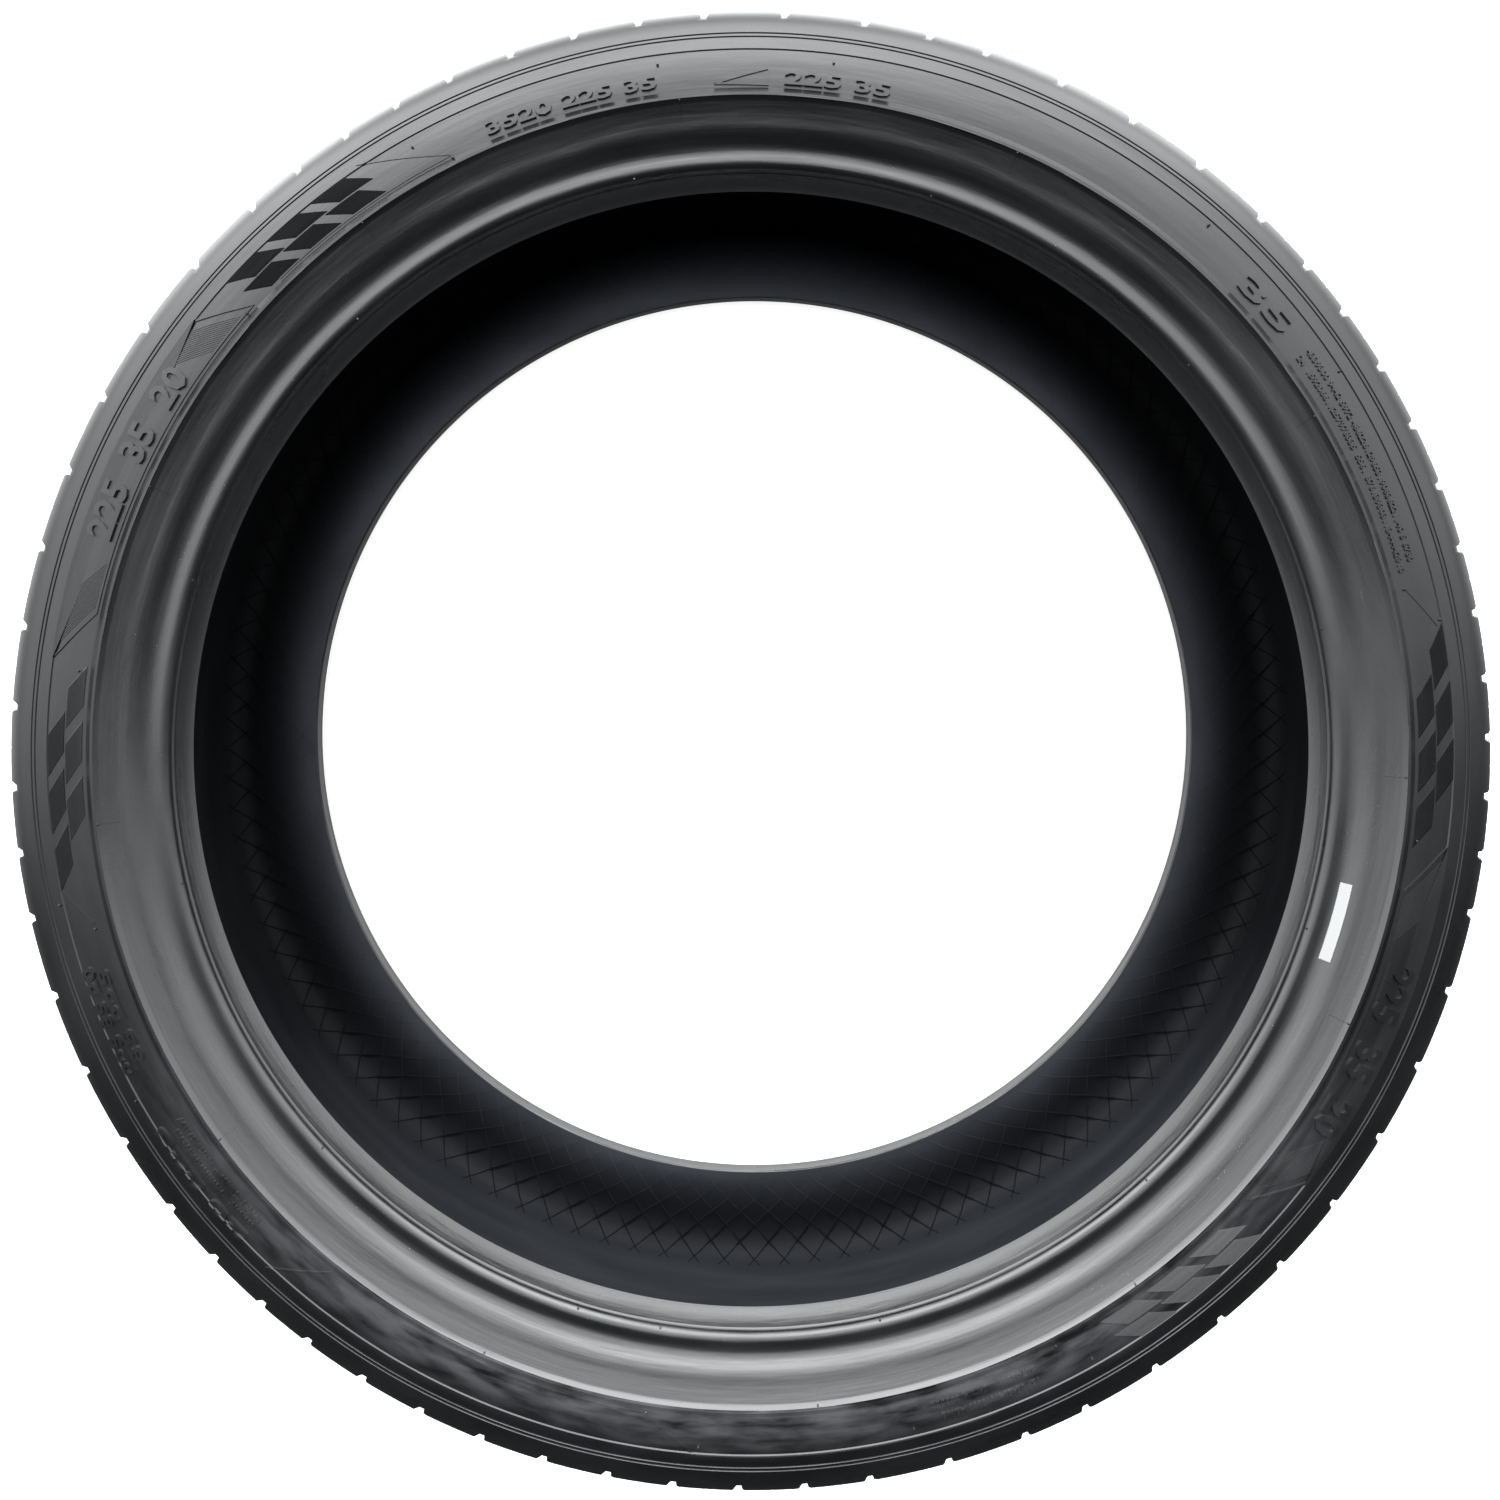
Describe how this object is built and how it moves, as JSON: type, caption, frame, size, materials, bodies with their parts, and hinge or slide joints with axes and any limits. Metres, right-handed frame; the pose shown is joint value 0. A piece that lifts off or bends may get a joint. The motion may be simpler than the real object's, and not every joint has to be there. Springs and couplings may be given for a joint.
{
  "type": "car tyre",
  "caption": "Low-profile car tyre with a directional tread, rounded shoulders, rim protectors on both sidewalls and bead seats for a 20-inch wheel.",
  "frame": {"origin": "centre of the tyre: the wheel axis meets the middle plane of the tread", "axes": "+Z along the wheel axis, out of the sidewall that the picture shows; +Y towards the top of the picture"},
  "size_m": [0.6653, 0.6654, 0.225],
  "materials": {
    "tyre_rubber": "matte"
  },
  "bodies": {
    "root": {"tyre": "tyre_rubber"}
  },
  "joints": []
}
